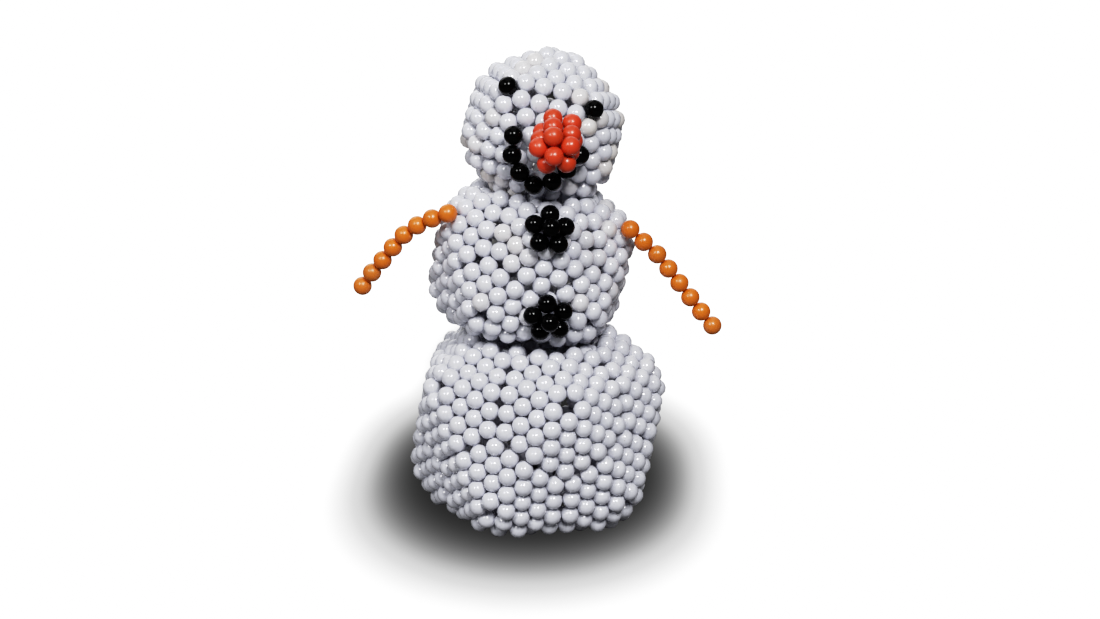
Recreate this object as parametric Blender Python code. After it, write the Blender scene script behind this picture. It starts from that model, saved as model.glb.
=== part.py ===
"""A toy snowman built from small painted ball magnets.

Three white shells of touching balls stand on one another. The two lower shells are made of
five-sided patches of balls round an empty middle; the head is made of triangles of balls.
Eyes, mouth, buttons, nose and arms are loose coloured balls held on the outside.
Lengths named below without a unit are in ball diameters; the floor is z = 0, the front is -Y.
"""
import bpy
import math
import numpy as np

BALL_DIAMETER = 0.005
CLEARANCE = 0.0003
SOLID_RADIUS = 0.5 - 0.5 * CLEARANCE / BALL_DIAMETER
ROOT3 = math.sqrt(3.0)
TOUCH_LIMIT = 1.1
NEAR_LIMIT = 2.3

# lower shell: rings of balls per patch, level of its two rims, roundness and swelling, place, turn
BASE_RINGS = 4
BASE_RIMS = (4.85, 4.15)
BASE_SHAPE = (0.2, 0.0)
BASE_CENTRE = (0.0, 0.0, 4.74)
BASE_TURN = (-74.9, 0.0, 0.0)
# middle shell
TORSO_RINGS = 3
TORSO_RIMS = (3.6, 3.3)
TORSO_SHAPE = (0.2, -0.01)
TORSO_CENTRE = (-0.562, 0.501, 13.733)
TORSO_TURN = (-81.9, -4.1, -5.4)
# head
HEAD_SIDE = 4
HEAD_SHAPE = (0.26, -0.02)
HEAD_CENTRE = (-0.096, 0.753, 20.936)
HEAD_TURN = (-26.9, -7.4, 49.3)
SHELL_GAP = 1.02
SHELL_ROOM = 0.97
SETTLE_STEPS = 150
REST_STEPS = 120
FLAT_BOTTOM = 0.42
PIT_HEIGHT = {3: 0.2, 4: 0.08, 5: -0.3}

# features on the head: which patch middles carry the eyes, mouth balls as (azimuth, elevation)
EYE_HOLES = (0, 1)
CAP_RISE = 0.526
RING_RADIUS = 0.851
MOUTH_DIRECTIONS = ((-18.5, 6.6), (-18.1, -4.9), (-13.6, -15.5), (-3.8, -23.8),
                    (6.9, -20.4), (16.1, -15.0), (25.5, -4.9))
NOSE_ROOT = (0.767, -4.19, 21.85)
NOSE_HEADING = (-5.2, -16.7)
NOSE_PHASE = -21.5
NOSE_TWIST = 7.8
NOSE_LAYERS = 3
NOSE_STEP = 1.0
# features on the middle shell
UPPER_BUTTON_HOLE = 1
UPPER_BUTTON_RISE = 0.86
LOWER_BUTTON_DIRECTION = (11.2, -16.0)
LOWER_BUTTON_RADIUS = 5.6
LOWER_BUTTON_PHASE = -8.0
# arms: first ball, heading back from sideways, slope of each following step below level
LEFT_ARM_ROOT = (-4.90, -2.54, 17.05)
LEFT_ARM_HEADING = (-1.0, 24.0)
LEFT_ARM_SLOPES = (23.0, 29.0, 38.0, 49.5, 52.0, 50.5, 55.0)
RIGHT_ARM_ROOT = (4.66, -1.54, 16.20)
RIGHT_ARM_HEADING = (1.0, 4.0)
RIGHT_ARM_SLOPES = (43.0, 42.0, 51.0, 52.0, 52.0, 52.0, 50.5)

BALL_SEGMENTS = 8
BALL_BANDS = 5
WHITE_PAINT = ((0.78, 0.79, 0.82, 1.0), 0.32)
BLACK_PAINT = ((0.012, 0.012, 0.013, 1.0), 0.22)
RED_PAINT = ((0.72, 0.07, 0.025, 1.0), 0.38)
ORANGE_PAINT = ((0.62, 0.17, 0.02, 1.0), 0.4)


def unit(v):
    return v / np.linalg.norm(v)


def icosahedron():
    """Corner directions: one up, five high, five low, one down."""
    ring_z = 1.0 / math.sqrt(5.0)
    ring_r = 2.0 / math.sqrt(5.0)
    points = [(0.0, 0.0, 1.0)]
    for start, level in ((0.0, ring_z), (36.0, -ring_z)):
        for k in range(5):
            angle = math.radians(72.0 * k + start)
            points.append((ring_r * math.cos(angle), ring_r * math.sin(angle), level))
    points.append((0.0, 0.0, -1.0))
    return np.array(points)


def corners_around(dirs, h):
    """Corners next to corner h, counter-clockwise seen from outside."""
    near = [n for n in range(12) if n != h and dirs[n] @ dirs[h] > 0.4]
    side = unit(np.cross(dirs[h], (0.3, 0.9, 0.2)))
    up = np.cross(dirs[h], side)
    near.sort(key=lambda n: math.atan2(dirs[n] @ up, dirs[n] @ side))
    return near


def patched_shell(rings):
    """Twelve five-sided patches; ring j of a patch holds 5 j balls round an empty middle."""
    dirs = icosahedron()
    corners = dirs * (rings * ROOT3 + 1.0) / np.linalg.norm(dirs[0] - dirs[1])
    points = []
    for h in range(12):
        near = corners_around(dirs, h)
        for k in range(5):
            before, middle, after = (corners[near[(k + s) % 5]] for s in (-1, 0, 1))
            to_first = unit((corners[h] + before + middle) / 3.0 - corners[h])
            to_middle = unit(middle - corners[h])
            to_last = unit((corners[h] + middle + after) / 3.0 - corners[h])
            for j in range(1, rings + 1):
                first = corners[h] + j * to_first
                fold = corners[h] + j * ROOT3 / 2.0 * to_middle
                last = corners[h] + j * to_last
                for m in range(j):
                    t = 2.0 * m / j
                    if t < 1.0:
                        points.append(first + (fold - first) * t)
                    else:
                        points.append(fold + (last - fold) * (t - 1.0))
    return np.array(points)


def faced_shell(side):
    """Twenty triangles of balls whose straight edges lie one ball apart."""
    dirs = icosahedron()
    inner = (side - 1) / (2.0 * ROOT3)
    faces = [(a, b, c) for a in range(12) for b in range(a) for c in range(b)
             if min(dirs[a] @ dirs[b], dirs[b] @ dirs[c], dirs[a] @ dirs[c]) > 0.4]
    normals = [unit(dirs[a] + dirs[b] + dirs[c]) for a, b, c in faces]
    half = math.acos(max(normals[0] @ n for n in normals[1:])) / 2.0
    height = (0.5 + inner * math.cos(half)) / math.sin(half)
    points = []
    for face, n in zip(faces, normals):
        tips = [height * n + unit(dirs[q] - (dirs[q] @ n) * n) * (side - 1) / ROOT3 for q in face]
        for i in range(side):
            for j in range(side - i):
                k = side - 1 - i - j
                points.append((tips[0] * i + tips[1] * j + tips[2] * k) / (side - 1))
    return np.array(points)


def pairs_within(points, reach):
    gap = np.linalg.norm(points[:, None] - points[None], axis=2)
    a, b = np.where(np.triu(gap < reach, 1))
    return a, b, gap[a, b]


def settle(points, touching, near, others, steps, room=1.0):
    """Touching balls keep one ball apart; no ball comes closer to a near or other ball."""
    points = points.copy()
    rows = np.arange(len(points))
    for _ in range(steps):
        move = np.zeros_like(points)
        count = np.zeros(len(points))
        for (a, b), pulls in ((touching, True), (near, False)):
            v = points[b] - points[a]
            dist = np.linalg.norm(v, axis=1)
            off = dist - 1.0 if pulls else np.minimum(dist - room, 0.0)
            shift = (0.5 * off / dist)[:, None] * v
            np.add.at(move, a, shift)
            np.add.at(move, b, -shift)
            np.add.at(count, a, off != 0.0)
            np.add.at(count, b, off != 0.0)
        points += 1.2 * move / np.maximum(count, 1.0)[:, None]
        if others is not None:
            v = points[:, None] - others[None]
            dist = np.linalg.norm(v, axis=2)
            hit = dist.argmin(axis=1)
            short = np.maximum(SHELL_GAP - dist[rows, hit], 0.0)
            points += v[rows, hit] * (short / dist[rows, hit])[:, None]
    return points


def dent(points, rims):
    """Fold the top and bottom inwards about two level rims."""
    points = points.copy()
    z = points[:, 2]
    z[z > rims[0]] = 2.0 * rims[0] - z[z > rims[0]]
    z[z < -rims[1]] = -2.0 * rims[1] - z[z < -rims[1]]
    return points


def rounded(points, share, swell):
    """Part of the way to a sphere, as the loose net of balls bulges, and a little larger or smaller."""
    r = np.linalg.norm(points, axis=1, keepdims=True)
    return (points * (1.0 - share) + share * r.mean() * points / r) * (1.0 + swell)


def turn(angles):
    """Rotation from a heading, then a lean about the new Y, then about the new X, in degrees."""
    a, b, c = (math.radians(v) for v in angles)
    about_z = np.array([[math.cos(a), -math.sin(a), 0], [math.sin(a), math.cos(a), 0], [0, 0, 1]])
    about_y = np.array([[math.cos(b), 0, math.sin(b)], [0, 1, 0], [-math.sin(b), 0, math.cos(b)]])
    about_x = np.array([[1, 0, 0], [0, math.cos(c), -math.sin(c)], [0, math.sin(c), math.cos(c)]])
    return about_z @ about_y @ about_x


def direction(azimuth, elevation):
    """Azimuth from the front towards the right-hand side, elevation above level."""
    a, e = math.radians(azimuth), math.radians(elevation)
    return np.array([math.sin(a) * math.cos(e), -math.cos(a) * math.cos(e), math.sin(e)])


def placed(points, centre, angles):
    return points @ turn(angles).T + np.array(centre)


def net_openings(points, a, b):
    """Loops of balls round every opening of a shell's net of touching balls."""
    near = [[] for _ in points]
    for i, j in zip(a.tolist(), b.tolist()):
        near[i].append(j)
        near[j].append(i)
    for i, group in enumerate(near):
        n = unit(points[i])
        side = unit(np.cross(n, (0.31, 0.9, 0.2)))
        up = np.cross(n, side)
        group.sort(key=lambda k: math.atan2((points[k] - points[i]) @ up,
                                            (points[k] - points[i]) @ side))
    left_of = {}
    loops = []
    for i in range(len(points)):
        for j in near[i]:
            if (i, j) in left_of:
                continue
            loop = []
            p, q = i, j
            while (p, q) not in left_of:
                left_of[(p, q)] = len(loops)
                loop.append(p)
                p, q = q, near[q][(near[q].index(p) - 1) % len(near[q])]
            loops.append(loop)
    return loops, left_of


class Shell:
    """A shell of balls: its centres, its net of touching pairs and the openings of the net."""

    def __init__(self, points, rims, shape, centre, angles):
        a, b, gap = pairs_within(points, NEAR_LIMIT)
        close = gap < TOUCH_LIMIT
        self.pairs = (a[close], b[close])
        self.all_pairs = (a, b)
        self.loops, self.left_of = net_openings(points, *self.pairs)
        if rims:
            rest = (a[~close], b[~close])
            points = settle(dent(points, rims), self.pairs, rest, None, SETTLE_STEPS)
        self.balls = placed(rounded(points, *shape), centre, angles)
        self.centre = np.array(centre)

    def make_room(self, others):
        none = (np.array([], int), np.array([], int))
        self.balls = settle(self.balls, none, self.all_pairs, others, REST_STEPS, SHELL_ROOM)

    def hole(self, corner, angles):
        """Middle and outward direction of the five-ball opening at one corner."""
        aim = turn(angles) @ icosahedron()[corner]
        rings = [loop for loop in self.loops if len(loop) == 5]
        middles = [self.balls[loop].mean(axis=0) for loop in rings]
        best = max(range(len(rings)), key=lambda k: unit(middles[k] - self.centre) @ aim)
        ring = self.balls[rings[best]]
        middle = middles[best]
        out = unit(np.cross(ring[1] - ring[0], ring[2] - ring[1]))
        return middle, out * np.sign(out @ aim), ring


def laid_on(centre, aim, shell):
    """Place on a ray from the centre where a ball comes to rest on the shell."""
    v = shell.balls - centre
    along = v @ aim
    across = (v * v).sum(axis=1) - along ** 2
    hit = across < SHELL_GAP ** 2
    return centre + aim * (along[hit] + np.sqrt(SHELL_GAP ** 2 - across[hit])).max()


def flower(middle, out, phase, shell):
    """Five balls in a ring with one raised ball on their middle, resting on a shell."""
    side = unit(np.cross((0.0, 0.0, 1.0), out))
    up = np.cross(out, side)
    points = []
    for k in range(5):
        angle = math.radians(phase + 72.0 * k)
        points.append(middle + RING_RADIUS * (math.cos(angle) * up + math.sin(angle) * side))
    points.append(middle + CAP_RISE * out)
    firsts = np.array([0, 1, 2, 3, 4, 0, 1, 2, 3, 4])
    seconds = np.array([1, 2, 3, 4, 0, 5, 5, 5, 5, 5])
    none = (np.array([], int), np.array([], int))
    return settle(np.array(points), (firsts, seconds), none, shell.balls, REST_STEPS)


def pocket_phase(middle, out, ring):
    """Angle from up at which a ring of balls falls between the balls of the ring below."""
    side = unit(np.cross((0.0, 0.0, 1.0), out))
    up = np.cross(out, side)
    between = 0.5 * (ring[0] + ring[1]) - middle
    return math.degrees(math.atan2(between @ side, between @ up))


def nose_balls():
    """Rings of five stacked along the nose, each turned a little, closed by one ball."""
    root = np.array(NOSE_ROOT)
    out = direction(*NOSE_HEADING)
    side = unit(np.cross((0.0, 0.0, 1.0), out))
    up = np.cross(out, side)
    points = []
    for layer in range(NOSE_LAYERS):
        for k in range(5):
            angle = math.radians(NOSE_PHASE + NOSE_TWIST * layer + 72.0 * k)
            ring = RING_RADIUS * (math.cos(angle) * up + math.sin(angle) * side)
            points.append(root + out * NOSE_STEP * layer + ring)
    points.append(root + out * (NOSE_STEP * (NOSE_LAYERS - 1) + CAP_RISE))
    return np.array(points)


def arm_balls(root, heading, slopes):
    """A string of touching balls hanging away from the shoulder."""
    sideways, back = heading
    points = [np.array(root)]
    for slope in slopes:
        s, b = math.radians(slope), math.radians(back)
        step = (sideways * math.cos(b) * math.cos(s), math.sin(b) * math.cos(s), -math.sin(s))
        points.append(points[-1] + np.array(step))
    return np.array(points)


def mouth_balls(head):
    points = np.array([laid_on(head.centre, direction(*aim), head) for aim in MOUTH_DIRECTIONS])
    chain = (np.arange(len(points) - 1), np.arange(1, len(points)))
    none = (np.array([], int), np.array([], int))
    return settle(points, chain, none, head.balls, REST_STEPS)


def paint(name, colour, roughness, metallic=0.0):
    material = bpy.data.materials.new(name)
    material.use_nodes = True
    shader = material.node_tree.nodes["Principled BSDF"]
    shader.inputs["Base Color"].default_value = colour
    shader.inputs["Roughness"].default_value = roughness
    shader.inputs["Metallic"].default_value = metallic
    return material


def add_object(name, vertices, faces, material):
    mesh = bpy.data.meshes.new(name)
    mesh.from_pydata([tuple(v) for v in vertices], [], faces)
    mesh.materials.append(material)
    obj = bpy.data.objects.new(name, mesh)
    bpy.context.scene.collection.objects.link(obj)
    return obj


def skin(shell):
    """One facet corner on every ball and one in every opening, joined into a closed skin."""
    balls = shell.balls
    middles = np.array([balls[loop].mean(axis=0) for loop in shell.loops])
    outward = []
    for loop in shell.loops:
        ring = balls[loop]
        area = sum(np.cross(ring[k - 1], ring[k]) for k in range(len(ring)))
        outward.append(unit(area))
    outward = np.array(outward)
    if sum(outward[k] @ (middles[k] - shell.centre) for k in range(len(middles))) < 0.0:
        outward = -outward
    normals = np.zeros_like(balls)
    for loop, n in zip(shell.loops, outward):
        normals[loop] += n
    normals /= np.linalg.norm(normals, axis=1, keepdims=True)
    tips = balls + SOLID_RADIUS * normals
    rise = np.array([PIT_HEIGHT[len(loop)] for loop in shell.loops])
    pits = middles + rise[:, None] * outward
    faces = []
    count = len(balls)
    for i, j in zip(*(p.tolist() for p in shell.pairs)):
        left = count + shell.left_of[(i, j)]
        right = count + shell.left_of[(j, i)]
        faces.append((i, right, left))
        faces.append((j, left, right))
    return np.concatenate([tips, pits]), faces


def outward_faces(vertices, faces):
    """Faces turned so that the closed skin has a positive volume."""
    volume = sum(vertices[a] @ np.cross(vertices[b], vertices[c]) for a, b, c in faces)
    if volume < 0.0:
        return [tuple(reversed(face)) for face in faces]
    return faces


def flattened(vertices, faces, centre):
    """The hollow under a shell closed by one level face on the floor."""
    low = vertices[:, 2] < FLAT_BOTTOM
    edges = {}
    for face in faces:
        for k in range(3):
            edges[(face[k], face[(k + 1) % 3])] = face
    grown = low.copy()
    reach = np.linalg.norm((vertices[low] - centre)[:, :2], axis=1).min()
    inside = np.linalg.norm((vertices - centre)[:, :2], axis=1) < reach + 0.2
    grown |= inside & (vertices[:, 2] < centre[2])
    level = [face for face in faces if all(grown[list(face)])]
    kept = [face for face in faces if not all(grown[list(face)])]
    gone = set(level)
    ahead = {}
    for face in level:
        for k in range(3):
            a, b = face[k], face[(k + 1) % 3]
            if edges[(b, a)] not in gone:
                ahead[a] = b
    start = next(iter(ahead))
    loop = [start]
    while ahead[loop[-1]] != start:
        loop.append(ahead[loop[-1]])
    vertices = vertices.copy()
    vertices[grown, 2] = 0.0
    kept.append(tuple(loop))
    used = sorted({v for face in kept for v in face})
    place = {v: k for k, v in enumerate(used)}
    return vertices[used], [tuple(place[v] for v in face) for face in kept]


def add_ball(name, centre, material):
    """A faceted ball of eight segments."""
    vertices = [(0.0, 0.0, 1.0)]
    for band in range(1, BALL_BANDS):
        polar = math.pi * band / BALL_BANDS
        for k in range(BALL_SEGMENTS):
            angle = 2.0 * math.pi * k / BALL_SEGMENTS
            vertices.append((math.sin(polar) * math.cos(angle), math.sin(polar) * math.sin(angle),
                             math.cos(polar)))
    vertices.append((0.0, 0.0, -1.0))
    last = len(vertices) - 1
    faces = []
    for k in range(BALL_SEGMENTS):
        n = (k + 1) % BALL_SEGMENTS
        faces.append((0, 1 + k, 1 + n))
        faces.append((last, last - BALL_SEGMENTS + n, last - BALL_SEGMENTS + k))
        for band in range(BALL_BANDS - 2):
            top = 1 + band * BALL_SEGMENTS
            low = top + BALL_SEGMENTS
            faces.append((top + k, low + k, low + n, top + n))
    vertices = (np.array(vertices) * SOLID_RADIUS + centre) * BALL_DIAMETER
    add_object(name, vertices, faces, material)


def main():
    for obj in list(bpy.data.objects):
        bpy.data.objects.remove(obj, do_unlink=True)
    white = paint("white_paint", *WHITE_PAINT)
    black = paint("black_paint", *BLACK_PAINT)
    red = paint("red_paint", *RED_PAINT)
    orange = paint("orange_paint", *ORANGE_PAINT)

    head = Shell(faced_shell(HEAD_SIDE), None, HEAD_SHAPE, HEAD_CENTRE, HEAD_TURN)
    torso = Shell(patched_shell(TORSO_RINGS), TORSO_RIMS, TORSO_SHAPE, TORSO_CENTRE, TORSO_TURN)
    base = Shell(patched_shell(BASE_RINGS), BASE_RIMS, BASE_SHAPE, BASE_CENTRE, BASE_TURN)
    torso.make_room(head.balls)
    base.make_room(torso.balls)
    base.balls[:, 2] += 0.5 - base.balls[:, 2].min()

    for name, shell in (("base_shell", base), ("torso_shell", torso), ("head_shell", head)):
        vertices, faces = skin(shell)
        faces = outward_faces(vertices, faces)
        if shell is base:
            vertices, faces = flattened(vertices, faces, shell.centre)
        add_object(name, vertices * BALL_DIAMETER, faces, white)

    for name, corner in zip(("left_eye", "right_eye"), EYE_HOLES):
        middle, out, _ = head.hole(corner, HEAD_TURN)
        add_ball(name, middle + CAP_RISE * out, black)
    for k, point in enumerate(mouth_balls(head)):
        add_ball("mouth_%d" % (k + 1), point, black)
    for k, point in enumerate(nose_balls()):
        add_ball("nose_%02d" % (k + 1), point, red)

    middle, out, ring = torso.hole(UPPER_BUTTON_HOLE, TORSO_TURN)
    phase = pocket_phase(middle, out, ring)
    for k, point in enumerate(flower(middle + UPPER_BUTTON_RISE * out, out, phase, torso)):
        add_ball("upper_button_%d" % (k + 1), point, black)
    out = direction(*LOWER_BUTTON_DIRECTION)
    middle = torso.centre + LOWER_BUTTON_RADIUS * out
    for k, point in enumerate(flower(middle, out, LOWER_BUTTON_PHASE, torso)):
        add_ball("lower_button_%d" % (k + 1), point, black)

    for k, point in enumerate(arm_balls(LEFT_ARM_ROOT, LEFT_ARM_HEADING, LEFT_ARM_SLOPES)):
        add_ball("left_arm_%d" % (k + 1), point, orange)
    for k, point in enumerate(arm_balls(RIGHT_ARM_ROOT, RIGHT_ARM_HEADING, RIGHT_ARM_SLOPES)):
        add_ball("right_arm_%d" % (k + 1), point, orange)


main()
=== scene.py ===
"""A toy snowman of 1,213 small painted ball magnets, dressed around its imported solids.

Every ball is modelled. The three white shells are hollow nets one ball thick, and the coloured
balls lie on them. Lengths without a unit are in ball diameters, as in the part's source.
"""
import bpy
import math
import numpy as np
from mathutils import Matrix, Vector


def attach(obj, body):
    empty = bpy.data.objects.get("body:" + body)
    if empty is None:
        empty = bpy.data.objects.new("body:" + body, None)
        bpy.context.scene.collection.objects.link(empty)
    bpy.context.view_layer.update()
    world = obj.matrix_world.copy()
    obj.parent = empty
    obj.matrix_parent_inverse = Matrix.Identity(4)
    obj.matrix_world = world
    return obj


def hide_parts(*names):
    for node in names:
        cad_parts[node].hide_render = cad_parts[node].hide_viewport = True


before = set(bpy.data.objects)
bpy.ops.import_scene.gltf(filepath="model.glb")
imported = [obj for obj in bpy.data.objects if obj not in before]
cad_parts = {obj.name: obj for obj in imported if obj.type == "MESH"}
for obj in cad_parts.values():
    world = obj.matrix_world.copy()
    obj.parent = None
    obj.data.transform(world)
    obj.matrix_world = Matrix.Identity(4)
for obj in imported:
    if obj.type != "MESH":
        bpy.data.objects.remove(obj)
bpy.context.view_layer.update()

BALL_DIAMETER = 0.005  # metres

# ---- the three shells -------------------------------------------------------------------------

# lower shell: rings of balls per patch, level of its two rims, roundness and swelling, place, turn
BASE_RINGS = 4
BASE_RIMS = (4.85, 4.15)
BASE_SHAPE = (0.2, 0.0)
BASE_CENTRE = (0.0, 0.0, 4.74)
BASE_TURN = (-74.9, 0.0, 0.0)
# middle shell
TORSO_RINGS = 3
TORSO_RIMS = (3.6, 3.3)
TORSO_SHAPE = (0.2, -0.01)
TORSO_CENTRE = (-0.562, 0.501, 13.733)
TORSO_TURN = (-81.9, -4.1, -5.4)
# head: balls along each side of its triangles; it has no rims
HEAD_SIDE = 4
HEAD_SHAPE = (0.26, -0.02)
HEAD_CENTRE = (-0.096, 0.753, 20.936)
HEAD_TURN = (-26.9, -7.4, 49.3)

# balls nearer than the first limit touch, and nearer than the second are kept from each other
TOUCH_LIMIT = 1.1
NEAR_LIMIT = 2.3
# how close the balls of two pieces come, and those of one shell when it makes room for another
SHELL_GAP = 1.02
SHELL_ROOM = 0.97
# steps in which a shell's net settles and in which balls come to rest, and the pace of each
SETTLE_STEPS = 150
REST_STEPS = 120
SETTLE_PACE = 1.2

ROOT3 = math.sqrt(3.0)
FIFTH_TURN = 72.0
CORNERS = 12  # of an icosahedron
# the cosine between the directions of two neighbouring corners is above this
NEIGHBOUR_COSINE = 0.4
# where the count round a corner, and round a ball of a net, starts
CORNER_START = (0.3, 0.9, 0.2)
BALL_START = (0.31, 0.9, 0.2)

# ---- the coloured balls -----------------------------------------------------------------------

# a ring of five: its radius, and how far above it one more ball lies on its middle
RING_RADIUS = 0.851
CAP_RISE = 0.526
# on the head: which openings carry the eyes; mouth balls by azimuth and elevation from its middle
EYE_HOLES = (0, 1)
MOUTH_DIRECTIONS = ((-18.5, 6.6), (-18.1, -4.9), (-13.6, -15.5), (-3.8, -23.8),
                    (6.9, -20.4), (16.1, -15.0), (25.5, -4.9))
NOSE_ROOT = (0.767, -4.19, 21.85)
NOSE_HEADING = (-5.2, -16.7)
NOSE_PHASE = -21.5
NOSE_TWIST = 7.8
NOSE_LAYERS = 3
NOSE_STEP = 1.0
# on the middle shell
UPPER_BUTTON_HOLE = 1
UPPER_BUTTON_RISE = 0.86
LOWER_BUTTON_DIRECTION = (11.2, -16.0)
LOWER_BUTTON_RADIUS = 5.6
LOWER_BUTTON_PHASE = -8.0
# arms: first ball, heading back from sideways, slope of each following step below level
LEFT_ARM_ROOT = (-4.90, -2.54, 17.05)
LEFT_ARM_HEADING = (-1.0, 24.0)
LEFT_ARM_SLOPES = (23.0, 29.0, 38.0, 49.5, 52.0, 50.5, 55.0)
RIGHT_ARM_ROOT = (4.66, -1.54, 16.20)
RIGHT_ARM_HEADING = (1.0, 4.0)
RIGHT_ARM_SLOPES = (43.0, 42.0, 51.0, 52.0, 52.0, 52.0, 50.5)

# ---- how a ball is made -----------------------------------------------------------------------

# rows of faces on each sixth of a ball, how much larger its corners lie so that its outline
# keeps its size, and how much smaller than its size the smallest ball is
SHELL_BALL = {"Rows of Faces": 3, "Corner Swell": 1.014, "Size Spread": 0.012}
LOOSE_BALL = {"Rows of Faces": 7, "Corner Swell": 1.002, "Size Spread": 0.0}
# how warm the yellowest balls of each shell have become, where 1 is the whole range
BASE_WARMEST = 0.83
TORSO_WARMEST = 0.94
HEAD_WARMEST = 1.05
# what each random draw adds to a piece's seed
TURN_DRAW = 0.0
SIZE_DRAW = 11.0
SHADE_DRAW = 23.0
WARMTH_DRAW = 24.0
DULLNESS_DRAW = 25.0

# ---- paints -----------------------------------------------------------------------------------

# shade_spread is how much the balls of one paint differ, aged_from the warmth past which a ball
# turns to its aged colour, smear_roughness what a smear adds, peel how strong the orange peel is
PAINTS = {
    "white_paint": {
        "colour": (0.655, 0.663, 0.728, 1.0), "aged_colour": (0.68, 0.655, 0.64, 1.0),
        "shade_spread": 0.07, "aged_from": 0.80, "roughness": 0.10, "smear_roughness": 0.04,
        "peel": 0.08, "speck_colour": (0.25, 0.23, 0.21, 1.0), "speck_share": 0.03, "shine": 1.0},
    "black_paint": {
        "colour": (0.0015, 0.0015, 0.002, 1.0), "aged_colour": (0.003, 0.003, 0.003, 1.0),
        "shade_spread": 0.3, "aged_from": 0.5, "roughness": 0.08, "smear_roughness": 0.03,
        "peel": 0.06, "speck_colour": (0.05, 0.05, 0.05, 1.0), "speck_share": 0.02, "shine": 0.2},
    "red_paint": {
        "colour": (0.59, 0.062, 0.024, 1.0), "aged_colour": (0.52, 0.06, 0.02, 1.0),
        "shade_spread": 0.10, "aged_from": 0.5, "roughness": 0.24, "smear_roughness": 0.10,
        "peel": 0.4, "speck_colour": (0.30, 0.02, 0.01, 1.0), "speck_share": 0.06, "shine": 0.6},
    "orange_paint": {
        "colour": (0.62, 0.165, 0.02, 1.0), "aged_colour": (0.56, 0.17, 0.03, 1.0),
        "shade_spread": 0.10, "aged_from": 0.5, "roughness": 0.24, "smear_roughness": 0.10,
        "peel": 0.4, "speck_colour": (0.3, 0.08, 0.01, 1.0), "speck_share": 0.06, "shine": 0.6},
}
PEEL_DEPTH = 0.00002  # metres
DULL_SHARE = 0.5  # the dullest ball's added roughness, as a share of a smear's
SMEAR_FROM = 0.35
SMEAR_FULL = 0.7

# ---- camera, floor, light and film ------------------------------------------------------------

# camera: distance from what it looks at, height above level and lean in degrees; lens and sensor
# in millimetres
CAMERA_AIM = (0.546, 0.301, 11.136)
CAMERA_DISTANCE = 120.0
CAMERA_ELEVATION = 16.5
CAMERA_ROLL = 1.5
CAMERA_LENS = 72.65
CAMERA_SENSOR = 36.0
CAMERA_NEAR = 0.01  # metres

# the floor and the surround: width in metres, how bright both are seen, also in the darkest
# painted shade, and what each gives back to the figure
FLOOR_WIDTH = 8.0
PAPER_SEEN = 2.5
SHADE_SEEN = 0.038
FLOOR_GIVES = (0.17, 0.17, 0.17, 1.0)
FLOOR_ROUGHNESS = 0.9
SURROUND_GIVES = 0.055
# painted shades on the floor under and behind the figure: middle, half width and half length,
# heading, how far inside its edge each is full and how far outside it is gone, and steepness
FLOOR_SHADES = (
    ("base_shade", (-0.27, 4.78), (5.32, 3.33), 2.9, (-20.0, 7.38), 32.6),
    ("waist_shade", (-0.6, 24.0), (6.2, 6.5), 0.0, (-5.5, 2.2), 3.0),
    ("torso_shade", (-0.9, 51.0), (6.2, 7.5), 0.0, (-5.5, 2.2), 3.0),
    ("head_shade", (-0.6, 110.0), (6.5, 13.0), 0.0, (-5.5, 2.2), 3.0),
)
SHADE_STRETCH = (1.0, 2.12, 1.0)  # all of them are drawn out backwards

# soft lights: name, azimuth, elevation, distance and width in metres, watts
LIGHT_AIM_HEIGHT = 0.06
SOFT_LIGHTS = (
    ("right_soft_box", 12.0, 41.5, 0.9, 0.26, 7.2),
    ("left_soft_box", -38.0, 34.5, 0.9, 0.26, 3.5),
    ("overhead_soft_box", 0.0, 89.0, 1.1, 1.0, 1.9),
    ("left_panel", -85.0, 25.0, 1.1, 0.8, 0.8),
    ("right_panel", 85.0, 25.0, 1.1, 0.8, 0.1),
    ("rear_right_panel", 150.0, 35.0, 1.1, 0.8, 0.8),
    ("rear_panel", 180.0, 25.0, 1.1, 0.8, 2.0),
    ("rear_left_panel", -150.0, 35.0, 1.1, 0.8, 3.2),
)
# the light that the balls pass between them inside each shell: tint, radius; name, middle, watts
INNER_GLOW = (1.0, 0.95, 0.93)
INNER_SPREAD = 2.0
INNER_LIGHTS = (
    ("base_inner_light", (0.0, 0.0, 5.0), 0.0014),
    ("torso_inner_light", (-0.56, 0.5, 13.7), 0.0004),
    ("head_inner_light", (-0.1, 0.75, 20.9), 0.0003),
)

# the film's response: gain, toe, shoulder, and the slow rise of the brightest light up to white
FILM_GAIN = 2.15
FILM_TOE = 0.474
FILM_TOE_POWER = 0.59
FILM_SHOULDER = 0.80
FILM_SHOULDER_POWER = 3.0
FILM_RISE_FROM = 0.95
FILM_RISE = 0.22
FILM_WHITE = 2.5
FILM_STEPS = (0.01, 0.025, 0.05, 0.1, 0.2, 0.35, 0.55, 0.75, 0.95, 1.15, 1.5, 2.0)


# ---- nets of balls ----------------------------------------------------------------------------

def unit(v):
    return v / np.linalg.norm(v)


def icosahedron():
    """Corner directions: one up, five high, five low, one down."""
    ring_z = 1.0 / math.sqrt(5.0)
    ring_r = 2.0 / math.sqrt(5.0)
    points = [(0.0, 0.0, 1.0)]
    for start, level in ((0.0, ring_z), (FIFTH_TURN / 2.0, -ring_z)):
        for k in range(5):
            angle = math.radians(FIFTH_TURN * k + start)
            points.append((ring_r * math.cos(angle), ring_r * math.sin(angle), level))
    points.append((0.0, 0.0, -1.0))
    return np.array(points)


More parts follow.
